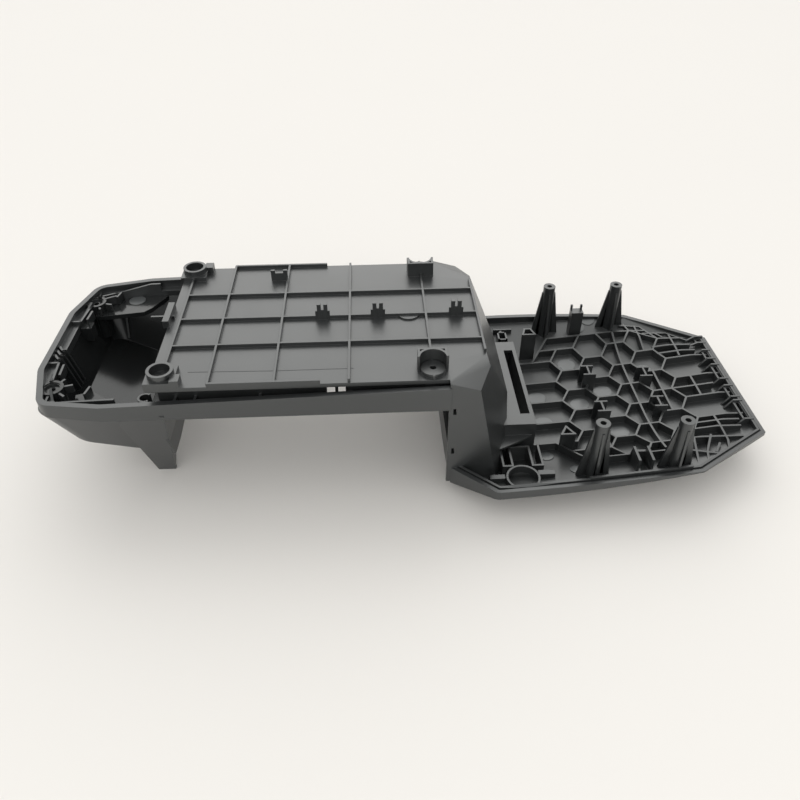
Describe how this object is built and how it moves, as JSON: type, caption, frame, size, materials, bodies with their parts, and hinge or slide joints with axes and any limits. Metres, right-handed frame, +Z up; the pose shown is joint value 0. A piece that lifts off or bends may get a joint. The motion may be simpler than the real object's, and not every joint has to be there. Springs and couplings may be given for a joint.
{
  "type": "injection moulded plastic housing",
  "caption": "One-piece ribbed plastic console housing with a tub, a raised deck, a riser and a wide panel with screw posts.",
  "frame": {"origin": "middle of the overall box, on the floor that the legs and the panel stand on", "axes": "+X along the length from the tub to the panel, +Y across, +Z up towards the ribbed inner side"},
  "size_m": [0.4284, 0.1804, 0.0932],
  "materials": {
    "moulding": "satin moulded, dark grey"
  },
  "bodies": {
    "root": {"housing": "moulding"}
  },
  "joints": []
}
